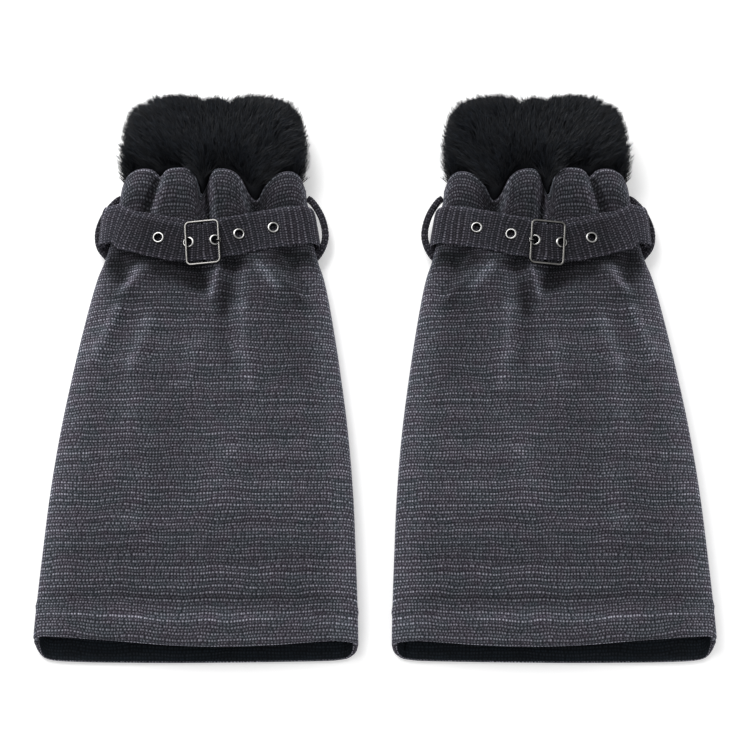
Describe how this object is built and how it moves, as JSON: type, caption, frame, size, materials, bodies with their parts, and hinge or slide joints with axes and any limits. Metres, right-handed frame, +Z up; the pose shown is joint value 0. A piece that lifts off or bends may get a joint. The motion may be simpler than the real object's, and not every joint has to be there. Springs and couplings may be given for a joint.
{
  "type": "pair of leg warmers",
  "caption": "Flared knit leg warmers with gathered tops, black fur cuffs and self-fabric belts with metal pin buckles and eyelets, lying flat side by side.",
  "frame": {"origin": "centre of the pair on the surface it lies on", "axes": "+X from the left piece to the right one, +Y from the hems towards the fur cuffs, +Z up out of the surface"},
  "size_m": [0.5052, 0.4656, 0.05],
  "materials": {
    "knit": "ribbed chenille knit, matt, heathered charcoal",
    "belt_knit": "the same knit with its rows across the belt",
    "fur": "black faux fur, soft sheen",
    "metal": "polished silver-coloured plating"
  },
  "bodies": {
    "root": {"left_front_panel": "knit", "left_back_panel": "knit", "left_fur_cuff": "fur", "left_belt": "belt_knit", "left_belt_loop_outer": "belt_knit", "left_belt_loop_inner": "belt_knit", "left_buckle_frame": "metal", "left_buckle_pin": "metal", "left_eyelet_1": "metal", "left_eyelet_2": "metal", "left_eyelet_3": "metal", "left_eyelet_4": "metal", "left_eyelet_5": "metal", "right_front_panel": "knit", "right_back_panel": "knit", "right_fur_cuff": "fur", "right_belt": "belt_knit", "right_belt_loop_outer": "belt_knit", "right_belt_loop_inner": "belt_knit", "right_buckle_frame": "metal", "right_buckle_pin": "metal", "right_eyelet_1": "metal", "right_eyelet_2": "metal", "right_eyelet_3": "metal", "right_eyelet_4": "metal", "right_eyelet_5": "metal"}
  },
  "joints": []
}
